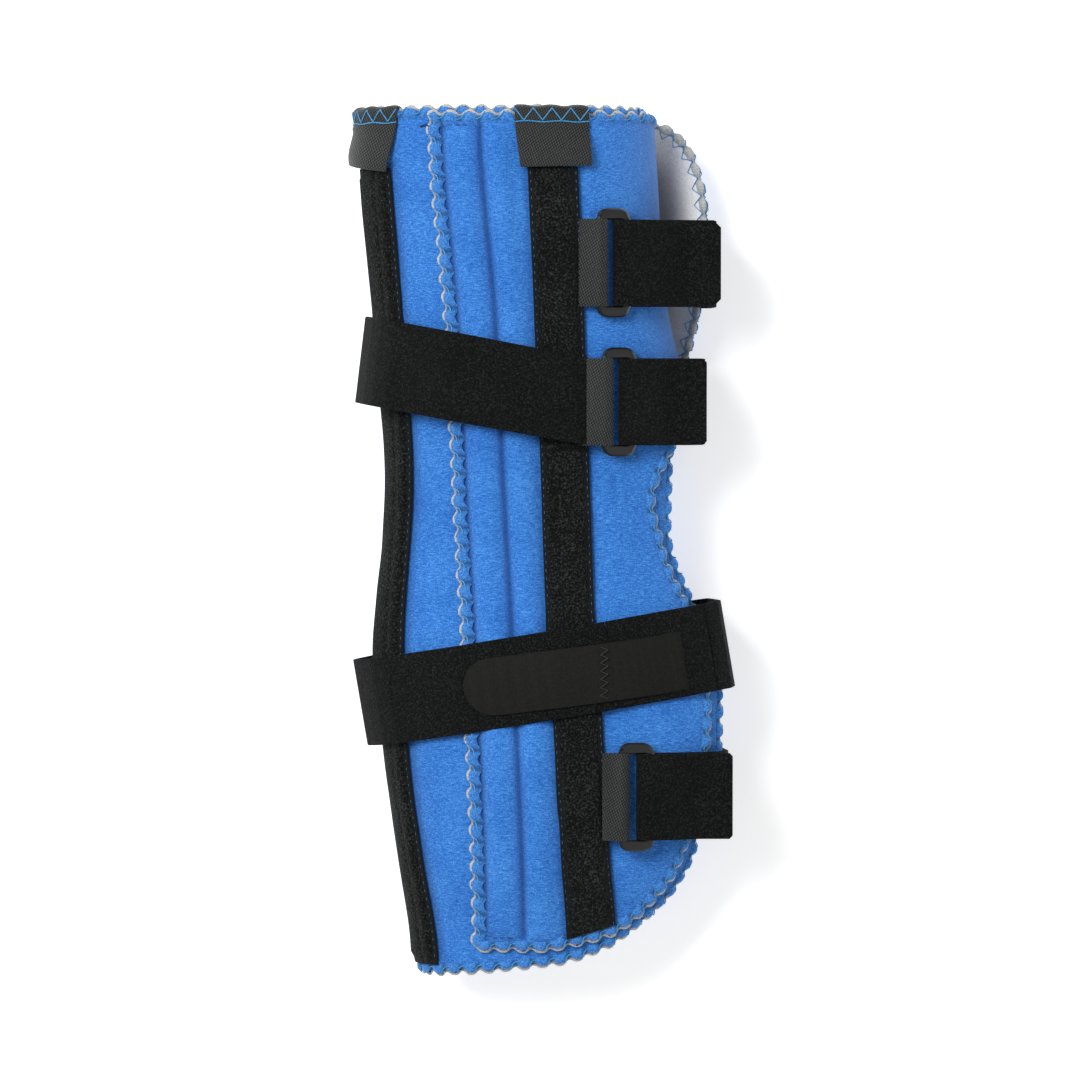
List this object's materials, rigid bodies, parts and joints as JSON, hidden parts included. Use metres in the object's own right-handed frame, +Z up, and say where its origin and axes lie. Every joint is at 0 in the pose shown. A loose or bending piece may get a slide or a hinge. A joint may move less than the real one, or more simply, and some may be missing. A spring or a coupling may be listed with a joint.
{
  "type": "wrist splint",
  "caption": "Wrap-around limb splint of padded panels with an edge cut-out, pocketed stays, ring-and-hook straps and one strap closed by a hook tab.",
  "frame": {"origin": "middle of the underside's bounding rectangle, in the plane the straps rest on", "axes": "+Y along the splint toward the arm end, +X toward the open side with the cut-out, +Z up from the resting side to the side that carries the rings"},
  "size_m": [0.1664, 0.377, 0.0906],
  "materials": {
    "loop_fabric": "brushed blue loop fabric over foam with a grey brushed lining",
    "stay_metal": "satin flat bar",
    "hook_tape": "hook tape, dull black",
    "cover_loop": "brushed black loop fabric",
    "webbing": "charcoal twill webbing",
    "strap_loop": "black brushed loop strap",
    "hook_tab_tape": "dark brown hook tape, dull",
    "ring_plastic": "black moulded plastic, glossy"
  },
  "bodies": {
    "splint": {"main_wrap": "loop_fabric", "front_side_panel": "loop_fabric", "back_side_panel": "loop_fabric", "front_hook_strip": "hook_tape", "back_hook_strip": "hook_tape", "front_stay": "stay_metal", "front_stay_cover": "cover_loop", "front_tab_binding": "webbing", "back_stay": "stay_metal", "back_stay_cover": "cover_loop", "back_tab_binding": "webbing", "fold_stay": "stay_metal", "fold_stay_cover": "cover_loop", "fold_tab_binding": "webbing", "upper_ring_holder": "webbing", "upper_strap_band": "strap_loop", "middle_ring_holder": "webbing", "middle_strap_band": "strap_loop", "lower_ring_holder": "webbing", "lower_strap_band": "strap_loop", "tab_strap_band": "strap_loop"},
    "upper_ring_body": {"upper_ring": "ring_plastic"},
    "upper_tail_body": {"upper_strap_tail": "strap_loop", "upper_tail_hook": "hook_tape"},
    "middle_ring_body": {"middle_ring": "ring_plastic"},
    "middle_tail_body": {"middle_strap_tail": "strap_loop", "middle_tail_hook": "hook_tape"},
    "lower_ring_body": {"lower_ring": "ring_plastic"},
    "lower_tail_body": {"lower_strap_tail": "strap_loop", "lower_tail_hook": "hook_tape"},
    "flap_body": {"tab_strap_flap": "strap_loop", "hook_tab": "hook_tab_tape"},
    "front_tab_body": {"front_pocket_tab": "webbing"},
    "back_tab_body": {"back_pocket_tab": "webbing"},
    "fold_tab_body": {"fold_pocket_tab": "webbing"}
  },
  "joints": [
    {"name": "upper_ring_swing", "type": "hinge", "parent": "splint", "child": "upper_ring_body", "pos_m": [0.02479, 0.1209, 0.08537], "axis": [0, -1, 0], "range_deg": [0, 25]},
    {"name": "upper_tail_peel", "type": "hinge", "parent": "upper_ring_body", "child": "upper_tail_body", "pos_m": [0.03686, 0.1209, 0.08054], "axis": [0, -1, 0], "range_deg": [0, 120]},
    {"name": "middle_ring_swing", "type": "hinge", "parent": "splint", "child": "middle_ring_body", "pos_m": [0.02719, 0.0605, 0.08291], "axis": [0, -1, 0], "range_deg": [0, 25]},
    {"name": "middle_tail_peel", "type": "hinge", "parent": "middle_ring_body", "child": "middle_tail_body", "pos_m": [0.03948, 0.0605, 0.07867], "axis": [0, -1, 0], "range_deg": [0, 120]},
    {"name": "lower_ring_swing", "type": "hinge", "parent": "splint", "child": "lower_ring_body", "pos_m": [0.03439, -0.1115, 0.08494], "axis": [0, -1, 0], "range_deg": [0, 25]},
    {"name": "lower_tail_peel", "type": "hinge", "parent": "lower_ring_body", "child": "lower_tail_body", "pos_m": [0.04732, -0.1115, 0.08355], "axis": [0, -1, 0], "range_deg": [0, 120]},
    {"name": "tab_strap_peel", "type": "hinge", "parent": "splint", "child": "flap_body", "pos_m": [0.07319, -0.04497, 0.0711], "axis": [0, 1, 0], "range_deg": [0, 150]},
    {"name": "front_pocket_tab_flip", "type": "hinge", "parent": "splint", "child": "front_tab_body", "pos_m": [0.00593, 0.18085, 0.08836], "axis": [-0.9889, 0, 0.1487], "range_deg": [0, 150]},
    {"name": "back_pocket_tab_flip", "type": "hinge", "parent": "splint", "child": "back_tab_body", "pos_m": [0.00537, 0.18085, 0.00426], "axis": [0.9984, 0, 0.057], "range_deg": [0, 150]},
    {"name": "fold_pocket_tab_flip", "type": "hinge", "parent": "splint", "child": "fold_tab_body", "pos_m": [-0.07641, 0.18085, 0.06799], "axis": [-0.6475, 0, -0.7621], "range_deg": [0, 150]}
  ]
}
